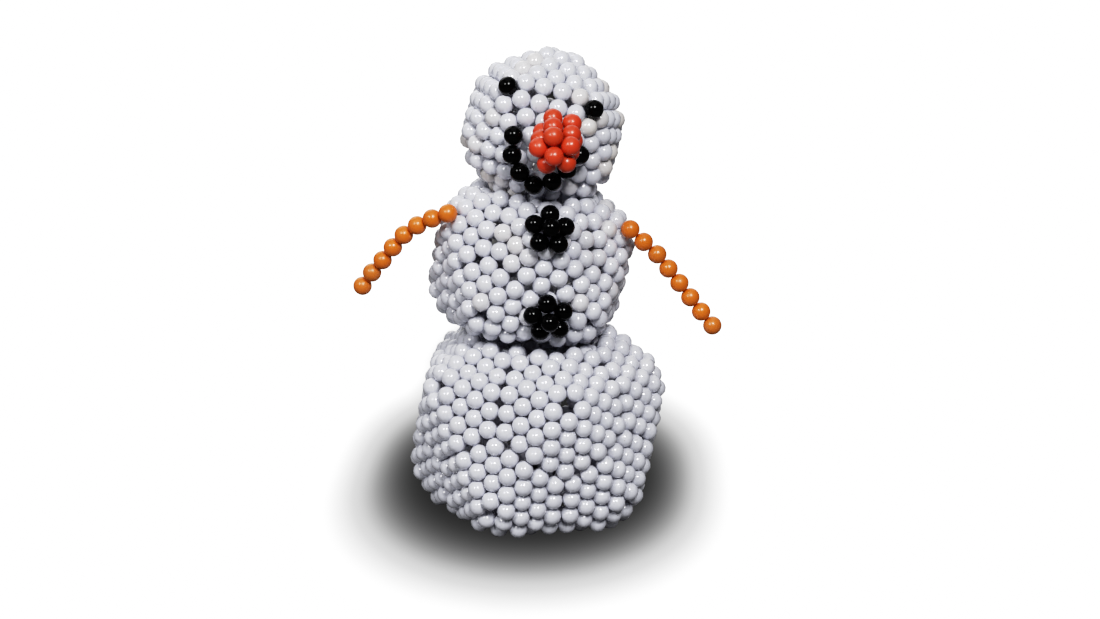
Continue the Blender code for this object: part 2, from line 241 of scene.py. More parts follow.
def corners_around(dirs, h):
    """Corners next to corner h, counter-clockwise seen from outside."""
    near = [n for n in range(CORNERS) if n != h and dirs[n] @ dirs[h] > NEIGHBOUR_COSINE]
    side = unit(np.cross(dirs[h], CORNER_START))
    up = np.cross(dirs[h], side)
    near.sort(key=lambda n: math.atan2(dirs[n] @ up, dirs[n] @ side))
    return near


def patched_shell(rings):
    """Twelve five-sided patches; ring j of a patch holds 5 j balls round an empty middle."""
    dirs = icosahedron()
    corners = dirs * (rings * ROOT3 + 1.0) / np.linalg.norm(dirs[0] - dirs[1])
    points = []
    for h in range(CORNERS):
        near = corners_around(dirs, h)
        for k in range(5):
            before, middle, after = (corners[near[(k + s) % 5]] for s in (-1, 0, 1))
            to_first = unit((corners[h] + before + middle) / 3.0 - corners[h])
            to_middle = unit(middle - corners[h])
            to_last = unit((corners[h] + middle + after) / 3.0 - corners[h])
            for j in range(1, rings + 1):
                first = corners[h] + j * to_first
                fold = corners[h] + j * ROOT3 / 2.0 * to_middle
                last = corners[h] + j * to_last
                for m in range(j):
                    t = 2.0 * m / j
                    if t < 1.0:
                        points.append(first + (fold - first) * t)
                    else:
                        points.append(fold + (last - fold) * (t - 1.0))
    return np.array(points)


def faced_shell(side):
    """Twenty triangles of balls whose straight edges lie one ball apart."""
    dirs = icosahedron()
    inner = (side - 1) / (2.0 * ROOT3)
    faces = [(a, b, c) for a in range(CORNERS) for b in range(a) for c in range(b)
             if min(dirs[a] @ dirs[b], dirs[b] @ dirs[c], dirs[a] @ dirs[c]) > NEIGHBOUR_COSINE]
    normals = [unit(dirs[a] + dirs[b] + dirs[c]) for a, b, c in faces]
    half = math.acos(max(normals[0] @ n for n in normals[1:])) / 2.0
    height = (0.5 + inner * math.cos(half)) / math.sin(half)
    points = []
    for face, n in zip(faces, normals):
        tips = [height * n + unit(dirs[q] - (dirs[q] @ n) * n) * (side - 1) / ROOT3 for q in face]
        for i in range(side):
            for j in range(side - i):
                k = side - 1 - i - j
                points.append((tips[0] * i + tips[1] * j + tips[2] * k) / (side - 1))
    return np.array(points)


def pairs_within(points, reach):
    """Every two balls whose middles are less than the reach apart, and how far they are."""
    gap = np.linalg.norm(points[:, None] - points[None], axis=2)
    a, b = np.where(np.triu(gap < reach, 1))
    return a, b, gap[a, b]


def no_pairs():
    return np.array([], int), np.array([], int)


def settle(points, touching, near, others, steps, room=1.0):
    """Touching balls keep one ball apart; no ball comes closer to a near or other ball."""
    points = points.copy()
    rows = np.arange(len(points))
    for _ in range(steps):
        move = np.zeros_like(points)
        count = np.zeros(len(points))
        for (a, b), pulls in ((touching, True), (near, False)):
            v = points[b] - points[a]
            dist = np.linalg.norm(v, axis=1)
            off = dist - 1.0 if pulls else np.minimum(dist - room, 0.0)
            shift = (0.5 * off / dist)[:, None] * v
            np.add.at(move, a, shift)
            np.add.at(move, b, -shift)
            np.add.at(count, a, off != 0.0)
            np.add.at(count, b, off != 0.0)
        points += SETTLE_PACE * move / np.maximum(count, 1.0)[:, None]
        if others is not None:
            v = points[:, None] - others[None]
            dist = np.linalg.norm(v, axis=2)
            hit = dist.argmin(axis=1)
            short = np.maximum(SHELL_GAP - dist[rows, hit], 0.0)
            points += v[rows, hit] * (short / dist[rows, hit])[:, None]
    return points


def dent(points, rims):
    """Fold the top and bottom inwards about two level rims."""
    points = points.copy()
    z = points[:, 2]
    z[z > rims[0]] = 2.0 * rims[0] - z[z > rims[0]]
    z[z < -rims[1]] = -2.0 * rims[1] - z[z < -rims[1]]
    return points


def rounded(points, share, swell):
    """Drawn part of the way to a sphere, as a loose net of balls bulges, and then swelled."""
    r = np.linalg.norm(points, axis=1, keepdims=True)
    return (points * (1.0 - share) + share * r.mean() * points / r) * (1.0 + swell)


def turn(angles):
    """Rotation from a heading, then a lean about the new Y, then about the new X, in degrees."""
    a, b, c = (math.radians(v) for v in angles)
    about_z = np.array([[math.cos(a), -math.sin(a), 0], [math.sin(a), math.cos(a), 0], [0, 0, 1]])
    about_y = np.array([[math.cos(b), 0, math.sin(b)], [0, 1, 0], [-math.sin(b), 0, math.cos(b)]])
    about_x = np.array([[1, 0, 0], [0, math.cos(c), -math.sin(c)], [0, math.sin(c), math.cos(c)]])
    return about_z @ about_y @ about_x


def direction(azimuth, elevation):
    """Azimuth from the front towards the right-hand side, elevation above level."""
    a, e = math.radians(azimuth), math.radians(elevation)
    return np.array([math.sin(a) * math.cos(e), -math.cos(a) * math.cos(e), math.sin(e)])


def placed(points, centre, angles):
    return points @ turn(angles).T + np.array(centre)


def net_openings(points, a, b):
    """Loops of balls round every opening of a shell's net of touching balls."""
    near = [[] for _ in points]
    for i, j in zip(a.tolist(), b.tolist()):
        near[i].append(j)
        near[j].append(i)
    for i, group in enumerate(near):
        n = unit(points[i])
        side = unit(np.cross(n, BALL_START))
        up = np.cross(n, side)
        group.sort(key=lambda k: math.atan2((points[k] - points[i]) @ up,
                                            (points[k] - points[i]) @ side))
    walked = set()
    loops = []
    for i in range(len(points)):
        for j in near[i]:
            loop = []
            p, q = i, j
            while (p, q) not in walked:
                walked.add((p, q))
                loop.append(p)
                p, q = q, near[q][(near[q].index(p) - 1) % len(near[q])]
            if loop:
                loops.append(loop)
    return loops


class Shell:
    """A shell of balls: its centres, which of them lie near each other, and its net's openings."""

    def __init__(self, points, rims, shape, centre, angles):
        a, b, gap = pairs_within(points, NEAR_LIMIT)
        close = gap < TOUCH_LIMIT
        touching = (a[close], b[close])
        self.near_pairs = (a, b)
        self.loops = net_openings(points, *touching)
        if rims:
            apart = (a[~close], b[~close])
            points = settle(dent(points, rims), touching, apart, None, SETTLE_STEPS)
        self.balls = placed(rounded(points, *shape), centre, angles)
        self.centre = np.array(centre)

    def make_room(self, others):
        """Give way where the balls of another shell rest on this one."""
        self.balls = settle(self.balls, no_pairs(), self.near_pairs, others, REST_STEPS,
                            SHELL_ROOM)

    def hole(self, corner, angles):
        """Middle, outward direction and balls of the five-ball opening at one corner."""
        aim = turn(angles) @ icosahedron()[corner]
        rings = [loop for loop in self.loops if len(loop) == 5]
        middles = [self.balls[loop].mean(axis=0) for loop in rings]
        best = max(range(len(rings)), key=lambda k: unit(middles[k] - self.centre) @ aim)
        ring = self.balls[rings[best]]
        out = unit(np.cross(ring[1] - ring[0], ring[2] - ring[1]))
        return middles[best], out * np.sign(out @ aim), ring


# ---- the coloured balls -----------------------------------------------------------------------

def laid_on(centre, aim, shell):
    """Place on a ray from the centre where a ball comes to rest on the shell."""
    v = shell.balls - centre
    along = v @ aim
    across = (v * v).sum(axis=1) - along ** 2
    hit = across < SHELL_GAP ** 2
    return centre + aim * (along[hit] + np.sqrt(SHELL_GAP ** 2 - across[hit])).max()


def level_and_up(out):
    """The level direction across an outward one, and the one that points up from both."""
    side = unit(np.cross((0.0, 0.0, 1.0), out))
    return side, np.cross(out, side)


def ring_of_five(middle, out, phase):
    """Middles of five balls in a ring that faces outwards, the first at the phase from up."""
    side, up = level_and_up(out)
    angles = [math.radians(phase + FIFTH_TURN * k) for k in range(5)]
    return [middle + RING_RADIUS * (math.cos(a) * up + math.sin(a) * side) for a in angles]


def flower(middle, out, phase, shell):
    """Five balls in a ring with one raised ball on their middle, resting on a shell."""
    points = ring_of_five(middle, out, phase) + [middle + CAP_RISE * out]
    firsts = np.array([0, 1, 2, 3, 4, 0, 1, 2, 3, 4])
    seconds = np.array([1, 2, 3, 4, 0, 5, 5, 5, 5, 5])
    return settle(np.array(points), (firsts, seconds), no_pairs(), shell.balls, REST_STEPS)


def pocket_phase(middle, out, ring):
    """Angle from up at which a ring of balls falls between the balls of the ring below."""
    side, up = level_and_up(out)
    between = 0.5 * (ring[0] + ring[1]) - middle
    return math.degrees(math.atan2(between @ side, between @ up))


def eye_balls(head):
    """One ball on the middle of the opening at each of two corners."""
    holes = [head.hole(corner, HEAD_TURN) for corner in EYE_HOLES]
    return [middle + CAP_RISE * out for middle, out, _ in holes]


def mouth_balls(head):
    """A chain of touching balls laid on the head."""
    points = np.array([laid_on(head.centre, direction(*aim), head) for aim in MOUTH_DIRECTIONS])
    chain = (np.arange(len(points) - 1), np.arange(1, len(points)))
    return settle(points, chain, no_pairs(), head.balls, REST_STEPS)


def nose_balls():
    """Rings of five stacked along the nose, each turned a little, closed by one ball."""
    root = np.array(NOSE_ROOT)
    out = direction(*NOSE_HEADING)
    points = []
    for layer in range(NOSE_LAYERS):
        middle = root + out * NOSE_STEP * layer
        points += ring_of_five(middle, out, NOSE_PHASE + NOSE_TWIST * layer)
    points.append(root + out * (NOSE_STEP * (NOSE_LAYERS - 1) + CAP_RISE))
    return points


def upper_button(torso):
    """A flower of balls in the pockets round one opening."""
    middle, out, ring = torso.hole(UPPER_BUTTON_HOLE, TORSO_TURN)
    phase = pocket_phase(middle, out, ring)
    return flower(middle + UPPER_BUTTON_RISE * out, out, phase, torso)


def lower_button(torso):
    """A flower of balls laid beside the openings."""
    out = direction(*LOWER_BUTTON_DIRECTION)
    return flower(torso.centre + LOWER_BUTTON_RADIUS * out, out, LOWER_BUTTON_PHASE, torso)


def arm_balls(root, heading, slopes):
    """A string of touching balls hanging away from the shoulder."""
    sideways, back = heading
    points = [np.array(root)]
    for slope in slopes:
        s, b = math.radians(slope), math.radians(back)
        step = (sideways * math.cos(b) * math.cos(s), math.sin(b) * math.cos(s), -math.sin(s))
        points.append(points[-1] + np.array(step))
    return points


# ---- building node trees ----------------------------------------------------------------------

def add_input(group, name, kind, value=None, low=None, high=None):
    """A named input of a group, with its usual value and its limits where it has them."""
    socket = group.interface.new_socket(name=name, in_out="INPUT", socket_type=kind)
    if value is not None:
        socket.default_value = value
    if low is not None:
        socket.min_value = low
    if high is not None:
        socket.max_value = high


def add_output(group, name, kind):
    group.interface.new_socket(name=name, in_out="OUTPUT", socket_type=kind)


def add_node(tree, kind, place, inputs=None, **settings):
    """A node at its place in the tree; its inputs are given values or joined to outputs."""
    node = tree.nodes.new(kind)
    node.location = place
    for name, value in settings.items():
        setattr(node, name, value)
    for key, value in (inputs or {}).items():
        if isinstance(key, str):
            socket = next(s for s in node.inputs if s.enabled and s.name == key)
        else:
            socket = node.inputs[key]
        if isinstance(value, bpy.types.NodeSocket):
            tree.links.new(value, socket)
        else:
            socket.default_value = value
    return node


def made_by(tree, kind, place, inputs=None, **settings):
    """The first output of a new node, to be joined to the next."""
    node = add_node(tree, kind, place, inputs, **settings)
    return next(s for s in node.outputs if s.enabled)


def sum_of(tree, place, first, second):
    return made_by(tree, "ShaderNodeMath", place, {0: first, 1: second}, operation="ADD")


def difference_of(tree, place, first, second):
    return made_by(tree, "ShaderNodeMath", place, {0: first, 1: second}, operation="SUBTRACT")


def product_of(tree, place, first, second):
    return made_by(tree, "ShaderNodeMath", place, {0: first, 1: second}, operation="MULTIPLY")


def random_draw(tree, place, kind, low, high, seed, draw):
    """A random number or vector for each ball, from the piece's seed and the draw's number."""
    x, y = place
    shifted = sum_of(tree, (x - 180, y), seed, draw)
    return made_by(tree, "FunctionNodeRandomValue", place,
                   {"Min": low, "Max": high, "Seed": shifted}, data_type=kind)


# ---- the balls as meshes ----------------------------------------------------------------------

def one_ball(tree, given):
    """A cube whose faces are drawn out to a smooth ball with even squares."""
    rows = sum_of(tree, (-1180, 300), given["Rows of Faces"], 1.0)
    cube = made_by(tree, "GeometryNodeMeshCube", (-1000, 300),
                   {"Vertices X": rows, "Vertices Y": rows, "Vertices Z": rows})
    corner = made_by(tree, "GeometryNodeInputPosition", (-1180, 120))
    angle = made_by(tree, "ShaderNodeVectorMath", (-1000, 120),
                    {0: corner, "Scale": math.pi / 2.0}, operation="SCALE")
    even = made_by(tree, "ShaderNodeVectorMath", (-820, 120), {0: angle}, operation="TANGENT")
    outward = made_by(tree, "ShaderNodeVectorMath", (-640, 120), {0: even}, operation="NORMALIZE")
    width = product_of(tree, (-820, -60), given["Ball Diameter"], given["Corner Swell"])
    radius = product_of(tree, (-640, -60), width, 0.5)
    drawn = made_by(tree, "ShaderNodeVectorMath", (-460, 120),
                    {0: outward, "Scale": radius}, operation="SCALE")
    ball = made_by(tree, "GeometryNodeSetPosition", (-280, 300),
                   {"Geometry": cube, "Position": drawn})
    return made_by(tree, "GeometryNodeSetShadeSmooth", (-100, 300), {"Geometry": ball})


def painted_ball_net():
    """Balls of one size on given centres, each turned its own way and numbered for its paint."""
    tree = bpy.data.node_groups.new("Painted Ball Net", "GeometryNodeTree")
    add_input(tree, "Centres", "NodeSocketGeometry")
    add_input(tree, "Ball Diameter", "NodeSocketFloat", BALL_DIAMETER, 0.0)
    add_input(tree, "Rows of Faces", "NodeSocketInt", SHELL_BALL["Rows of Faces"], 2)
    add_input(tree, "Corner Swell", "NodeSocketFloat", 1.0, 0.9, 1.1)
    add_input(tree, "Size Spread", "NodeSocketFloat", SHELL_BALL["Size Spread"], 0.0, 0.1)
    add_input(tree, "Warmest", "NodeSocketFloat", 1.0, 0.0, 2.0)
    add_input(tree, "Seed", "NodeSocketInt", 1)
    add_input(tree, "Paint", "NodeSocketMaterial")
    add_output(tree, "Balls", "NodeSocketGeometry")
    start = add_node(tree, "NodeGroupInput", (-1400, 0))
    given = {socket.name: socket for socket in start.outputs}
    seed = given["Seed"]

    # the balls on their centres
    turned = random_draw(tree, (-460, -260), "FLOAT_VECTOR", (0.0, 0.0, 0.0),
                         (2.0 * math.pi,) * 3, seed, TURN_DRAW)
    shrink = random_draw(tree, (-640, -460), "FLOAT", 0.0, 1.0, seed, SIZE_DRAW)
    smaller = product_of(tree, (-460, -460), shrink, given["Size Spread"])
    size = difference_of(tree, (-280, -460), 1.0, smaller)
    balls = made_by(tree, "GeometryNodeInstanceOnPoints", (100, 100),
                    {"Points": given["Centres"], "Instance": one_ball(tree, given),
                     "Rotation": turned, "Scale": size})

    # what the paint reads of each ball: its shade, warmth and dullness, and its middle
    shade = random_draw(tree, (100, -200), "FLOAT", 0.0, 1.0, seed, SHADE_DRAW)
    warmth = random_draw(tree, (100, -380), "FLOAT", 0.0, 1.0, seed, WARMTH_DRAW)
    warmth = product_of(tree, (280, -380), warmth, given["Warmest"])
    dullness = random_draw(tree, (100, -560), "FLOAT", 0.0, 1.0, seed, DULLNESS_DRAW)
    middle = made_by(tree, "GeometryNodeInputPosition", (860, -120))
    for k, (name, kind, value) in enumerate((("ball_shade", "FLOAT", shade),
                                             ("ball_warmth", "FLOAT", warmth),
                                             ("ball_dullness", "FLOAT", dullness),
                                             ("ball_middle", "FLOAT_VECTOR", middle))):
        balls = made_by(tree, "GeometryNodeStoreNamedAttribute", (320 + 180 * k, 100),
                        {"Geometry": balls, "Name": name, "Value": value},
                        data_type=kind, domain="INSTANCE")
    real = made_by(tree, "GeometryNodeRealizeInstances", (1040, 100), {"Geometry": balls})
    painted = made_by(tree, "GeometryNodeSetMaterial", (1220, 100),
                      {"Geometry": real, "Material": given["Paint"]})
    add_node(tree, "NodeGroupOutput", (1400, 100), {"Balls": painted})
    return tree


def ball_piece(name, centres, tree, values):
    """A plain mesh of painted balls on the centres, made by the ball net's nodes."""
    mesh = bpy.data.meshes.new(name + "_centres")
    mesh.from_pydata([tuple(p * BALL_DIAMETER) for p in centres], [], [])
    piece = bpy.data.objects.new(name, mesh)
    bpy.context.scene.collection.objects.link(piece)
    modifier = piece.modifiers.new("balls", "NODES")
    modifier.node_group = tree
    for item in tree.interface.items_tree:
        if item.item_type == "SOCKET" and item.in_out == "INPUT" and item.name in values:
            modifier[item.identifier] = values[item.name]
    depsgraph = bpy.context.evaluated_depsgraph_get()
    made = bpy.data.meshes.new_from_object(piece.evaluated_get(depsgraph),
                                           preserve_all_data_layers=True, depsgraph=depsgraph)
    piece.modifiers.remove(modifier)
    piece.data = made
    made.name = name
    bpy.data.meshes.remove(mesh)
    return piece


# ---- paints -----------------------------------------------------------------------------------

def ball_shade_group():
    """A ball's own shade of its paint: lighter or darker, and a few balls yellowed."""
    group = bpy.data.node_groups.new("Ball Shade", "ShaderNodeTree")
    add_input(group, "Colour", "NodeSocketColor", (0.8, 0.8, 0.8, 1.0))
    add_input(group, "Aged Colour", "NodeSocketColor", (0.8, 0.78, 0.72, 1.0))
    add_input(group, "Shade", "NodeSocketFloat", 0.5)
    add_input(group, "Warmth", "NodeSocketFloat", 0.0)
    add_input(group, "Shade Spread", "NodeSocketFloat", 0.05)
    add_input(group, "Aged From", "NodeSocketFloat", 0.8)
    add_output(group, "Colour", "NodeSocketColor")
    given = add_node(group, "NodeGroupInput", (-700, 0)).outputs
    aged = made_by(group, "ShaderNodeMapRange", (-460, -120),
                   {"Value": given["Warmth"], "From Min": given["Aged From"], "From Max": 1.0})
    blend = made_by(group, "ShaderNodeMix", (-240, 60),
                    {"Factor": aged, "A": given["Colour"], "B": given["Aged Colour"]},
                    data_type="RGBA")
    from_middle = difference_of(group, (-460, -340), given["Shade"], 0.5)
    spread = product_of(group, (-240, -340), from_middle, given["Shade Spread"])
    value = sum_of(group, (-40, -340), spread, 1.0)
    shaded = made_by(group, "ShaderNodeHueSaturation", (160, 60), {"Color": blend, "Value": value})
    add_node(group, "NodeGroupOutput", (400, 0), {"Colour": shaded})
    return group


def lacquer_group():
    """Sprayed lacquer: its fine orange peel, handling smears, and specks of dust caught in it."""
    group = bpy.data.node_groups.new("Sprayed Lacquer", "ShaderNodeTree")
    add_input(group, "Position", "NodeSocketVector")
    add_input(group, "Peel Scale", "NodeSocketFloat", 2400.0)
    add_input(group, "Smear Scale", "NodeSocketFloat", 260.0)
    add_input(group, "Speck Scale", "NodeSocketFloat", 900.0)
    add_input(group, "Speck Size", "NodeSocketFloat", 0.12)
    add_input(group, "Speck Share", "NodeSocketFloat", 0.04)
    for name in ("Peel", "Smear", "Speck"):
        add_output(group, name, "NodeSocketFloat")
    given = add_node(group, "NodeGroupInput", (-800, 0)).outputs
    where = given["Position"]
    peel = made_by(group, "ShaderNodeTexNoise", (-500, 300),
                   {"Vector": where, "Scale": given["Peel Scale"], "Detail": 1.0})
    clouds = made_by(group, "ShaderNodeTexNoise", (-500, 0),
                     {"Vector": where, "Scale": given["Smear Scale"], "Detail": 3.0,
                      "Distortion": 0.8})
    smear = made_by(group, "ShaderNodeMapRange", (-280, 0),
                    {"Value": clouds, "From Min": SMEAR_FROM, "From Max": SMEAR_FULL})
    cells = add_node(group, "ShaderNodeTexVoronoi", (-500, -320),
                     {"Vector": where, "Scale": given["Speck Scale"]})
    near = made_by(group, "ShaderNodeMath", (-280, -320),
                   {0: cells.outputs["Distance"], 1: given["Speck Size"]}, operation="LESS_THAN")
    chance = made_by(group, "ShaderNodeSeparateColor", (-280, -500),
                     {"Color": cells.outputs["Color"]})
    few = made_by(group, "ShaderNodeMath", (-80, -500),
                  {0: chance, 1: given["Speck Share"]}, operation="LESS_THAN")
    speck = product_of(group, (120, -400), near, few)
    add_node(group, "NodeGroupOutput", (500, 0), {"Peel": peel, "Smear": smear, "Speck": speck})
    return group


def read_from_ball(tree, place, name, output):
    """What the ball net has stored of each ball under a name."""
    return add_node(tree, "ShaderNodeAttribute", place, attribute_name=name).outputs[output]


def paint(name, shades, lacquers, colour, aged_colour, shade_spread, aged_from, roughness,
          smear_roughness, peel, speck_colour, speck_share, shine):
    """One paint: each ball's shade, sprayed lacquer, smears and specks, on a true round ball."""
    material = bpy.data.materials.new(name)
    material.use_nodes = True
    tree = material.node_tree
    shade = read_from_ball(tree, (-1100, 0), "ball_shade", "Fac")
    warmth = read_from_ball(tree, (-1100, -180), "ball_warmth", "Fac")
    dullness = read_from_ball(tree, (-1100, -360), "ball_dullness", "Fac")
    middle = read_from_ball(tree, (-800, -760), "ball_middle", "Vector")
    where = add_node(tree, "ShaderNodeTexCoord", (-1100, -600)).outputs["Object"]
    shaded = made_by(tree, "ShaderNodeGroup", (-800, 100),
                     {"Colour": colour, "Aged Colour": aged_colour, "Shade Spread": shade_spread,
                      "Aged From": aged_from, "Shade": shade, "Warmth": warmth},
                     node_tree=shades)
    lacquer = add_node(tree, "ShaderNodeGroup", (-800, -400),
                       {"Position": where, "Speck Share": speck_share},
                       node_tree=lacquers).outputs
    specked = made_by(tree, "ShaderNodeMix", (-480, 100),
                      {"Factor": lacquer["Speck"], "A": shaded, "B": speck_colour},
                      data_type="RGBA")
    smeared = product_of(tree, (-480, -160), lacquer["Smear"], smear_roughness)
    dull = made_by(tree, "ShaderNodeMath", (-480, -320),
                   {0: dullness, 1: DULL_SHARE * smear_roughness, 2: roughness},
                   operation="MULTIPLY_ADD")
    rough = sum_of(tree, (-260, -200), smeared, dull)
    # the ball's faces are flat, so it is shaded as the round ball about its own middle
    outward = made_by(tree, "ShaderNodeVectorMath", (-620, -760), {0: where, 1: middle},
                      operation="SUBTRACT")
    true_round = made_by(tree, "ShaderNodeVectorMath", (-440, -760), {0: outward},
                         operation="NORMALIZE")
    bumped = made_by(tree, "ShaderNodeBump", (-260, -480),
                     {"Strength": peel, "Distance": PEEL_DEPTH, "Height": lacquer["Peel"],
                      "Normal": true_round})
    shader = tree.nodes["Principled BSDF"]
    shader.inputs["Specular IOR Level"].default_value = shine
    tree.links.new(specked, shader.inputs["Base Color"])
    tree.links.new(rough, shader.inputs["Roughness"])
    tree.links.new(bumped, shader.inputs["Normal"])
    return material


# ---- floor, surround, film, lights and camera -------------------------------------------------

def soft_shade_group():
    """A soft oval of painted shade on the floor: none of the light at its middle, all of it
    outside.
    """
    group = bpy.data.node_groups.new("Soft Oval Shade", "ShaderNodeTree")
    add_input(group, "Position", "NodeSocketVector")
    add_input(group, "Middle", "NodeSocketVector")
    add_input(group, "Heading", "NodeSocketFloat", 0.0)
    add_input(group, "Stretch", "NodeSocketVector", (1.0, 1.0, 1.0))
    add_input(group, "Half Size", "NodeSocketVector", (1.0, 1.0, 1.0))
    add_input(group, "Full Until", "NodeSocketFloat", 0.0)
    add_input(group, "Gone At", "NodeSocketFloat", 1.0)
    add_input(group, "Steepness", "NodeSocketFloat", 1.0)
    add_output(group, "Light", "NodeSocketFloat")
    given = add_node(group, "NodeGroupInput", (-900, 0)).outputs
    moved = made_by(group, "ShaderNodeVectorMath", (-700, 100),
                    {0: given["Position"], 1: given["Middle"]}, operation="SUBTRACT")
    place = made_by(group, "ShaderNodeVectorRotate", (-520, 100),
                    {"Vector": moved, "Angle": given["Heading"]}, rotation_type="Z_AXIS")
    # how far out from the oval's edge: its share of the half size, less one, over its slope
    shares = [place]
    for k, size in enumerate(("Stretch", "Half Size", "Half Size")):
        shares.append(made_by(group, "ShaderNodeVectorMath", (-340 + 180 * k, 300),
                              {0: shares[-1], 1: given[size]}, operation="DIVIDE"))
    share = made_by(group, "ShaderNodeVectorMath", (20, 100), {0: shares[2]}, operation="LENGTH")
    slope = made_by(group, "ShaderNodeVectorMath", (200, 100), {0: shares[3]}, operation="LENGTH")
    past = difference_of(group, (200, -80), share, 1.0)
    reach = made_by(group, "ShaderNodeMath", (380, -80), {0: share, 1: slope}, operation="DIVIDE")
    away = product_of(group, (560, -80), past, reach)
    fade = made_by(group, "ShaderNodeMapRange", (740, 100),
                   {"Value": away, "From Min": given["Full Until"], "From Max": given["Gone At"]},
                   interpolation_type="SMOOTHSTEP")
    light = made_by(group, "ShaderNodeMath", (920, 100), {0: fade, 1: given["Steepness"]},
                    operation="POWER")
    add_node(group, "NodeGroupOutput", (1100, 0), {"Light": light})
    return group


def in_metres(lengths, last):
    """Two lengths on the floor and one upwards, from ball diameters to metres."""
    return [length * BALL_DIAMETER for length in (*lengths, last)]


def floor_paper():
    """Seamless white paper, evenly bright but for the soft painted shades, that gives little light
    back.
    """
    material = bpy.data.materials.new("floor_paper")
    material.use_nodes = True
    tree = material.node_tree
    where = add_node(tree, "ShaderNodeTexCoord", (-1300, 200)).outputs["Object"]
    shades = soft_shade_group()
    light = 1.0
    # each oval is a painted shadow that darkens the paper's glow
    for k, (name, middle, half, heading, fade, steepness) in enumerate(FLOOR_SHADES):
        y = 300 - 320 * k
        full, gone = (length * BALL_DIAMETER for length in fade)
        shade = made_by(tree, "ShaderNodeGroup", (-1000, y),
                        {"Position": where, "Middle": in_metres(middle, 0.0),
                         "Heading": math.radians(heading), "Stretch": SHADE_STRETCH,
                         "Half Size": in_metres(half, 1.0), "Full Until": full,
                         "Gone At": gone, "Steepness": steepness},
                        node_tree=shades, name=name, label=name)
        light = product_of(tree, (-740, y), light, shade)
    bright = made_by(tree, "ShaderNodeMapRange", (-520, 300),
                     {"Value": light, "To Min": SHADE_SEEN, "To Max": PAPER_SEEN})
    paper = made_by(tree, "ShaderNodeEmission", (-300, 300), {"Color": bright})
    dull = tree.nodes["Principled BSDF"]
    dull.inputs["Base Color"].default_value = FLOOR_GIVES
    dull.inputs["Roughness"].default_value = FLOOR_ROUGHNESS
    dull.inputs["Specular IOR Level"].default_value = 0.0
    seen = add_node(tree, "ShaderNodeLightPath", (-300, 600)).outputs["Is Camera Ray"]
    mix = made_by(tree, "ShaderNodeMixShader", (320, 300), {0: seen, 1: dull.outputs[0], 2: paper})
    tree.links.new(mix, tree.nodes["Material Output"].inputs["Surface"])
    return material


def surround():
    """An even, dim room that is seen as white beyond the floor."""
    world = bpy.data.worlds.new("surround")
    world.use_nodes = True
    tree = world.node_tree
    background = tree.nodes["Background"]
    background.inputs["Color"].default_value = (1.0, 1.0, 1.0, 1.0)
    seen = add_node(tree, "ShaderNodeLightPath", (-600, 0)).outputs["Is Camera Ray"]
    level = made_by(tree, "ShaderNodeMapRange", (-300, 0),
                    {"Value": seen, "To Min": SURROUND_GIVES, "To Max": PAPER_SEEN})
    tree.links.new(level, background.inputs["Strength"])
    return world


def film_response(light):
    """Dark gaps fall away, and the brightest paint keeps its shade."""
    toe = light ** FILM_TOE_POWER
    level = FILM_GAIN * light * toe / (toe + FILM_TOE ** FILM_TOE_POWER)
    power = FILM_SHOULDER_POWER
    level /= (1.0 + (level / FILM_SHOULDER) ** power) ** (1.0 / power)
    return min(level + FILM_RISE * max(light - FILM_RISE_FROM, 0.0), 1.0)


def load_film(settings):
    """Sets how bright each amount of light comes out, along the film's curve."""
    settings.view_transform = "Standard"
    settings.use_curve_mapping = True
    mapping = settings.curve_mapping
    mapping.white_level = (FILM_WHITE, FILM_WHITE, FILM_WHITE)
    curve = mapping.curves[3]  # the one for all three colours together
    for light in FILM_STEPS:
        curve.points.new(light / FILM_WHITE, film_response(light))
    curve.points[0].location = (0.0, 0.0)
    curve.points[-1].location = (1.0, film_response(FILM_WHITE))
    mapping.update()


def soft_light(name, azimuth, elevation, distance, width, power):
    """A square soft light that faces the middle of the figure."""
    data = bpy.data.lights.new(name, "AREA")
    data.shape = "SQUARE"
    data.size = width
    data.energy = power
    light = bpy.data.objects.new(name, data)
    aim = Vector((0.0, 0.0, LIGHT_AIM_HEIGHT))
    out = Vector(direction(azimuth, elevation))
    light.location = aim + out * distance
    light.rotation_euler = out.to_track_quat("Z", "Y").to_euler()
    bpy.context.scene.collection.objects.link(light)


def inner_light(name, middle, power):
    """A faint round light in a shell, for what the white balls pass between them."""
    data = bpy.data.lights.new(name, "POINT")
    data.color = INNER_GLOW
    data.shadow_soft_size = INNER_SPREAD * BALL_DIAMETER
    data.energy = power
    light = bpy.data.objects.new(name, data)
    light.location = Vector(middle) * BALL_DIAMETER
    light.visible_camera = False
    light.visible_glossy = False
    bpy.context.scene.collection.objects.link(light)


def add_camera():
    """The camera in front, a little above the head and leaning slightly."""
    level = math.radians(CAMERA_ELEVATION)
    lean = math.radians(CAMERA_ROLL)
    ahead = Vector((0.0, math.cos(level), -math.sin(level)))
    right = Vector((1.0, 0.0, 0.0))
    up = Vector((0.0, math.sin(level), math.cos(level)))
    across = right * math.cos(lean) + up * math.sin(lean)
    upright = up * math.cos(lean) - right * math.sin(lean)
    place = (Vector(CAMERA_AIM) - ahead * CAMERA_DISTANCE) * BALL_DIAMETER
    data = bpy.data.cameras.new("camera")
    data.sensor_width = CAMERA_SENSOR
    data.lens = CAMERA_LENS
    data.clip_start = CAMERA_NEAR
    camera = bpy.data.objects.new("camera", data)
    turned = Matrix((across, upright, -ahead)).transposed().to_4x4()
    camera.matrix_world = Matrix.Translation(place) @ turned
    bpy.context.scene.collection.objects.link(camera)
    bpy.context.scene.camera = camera


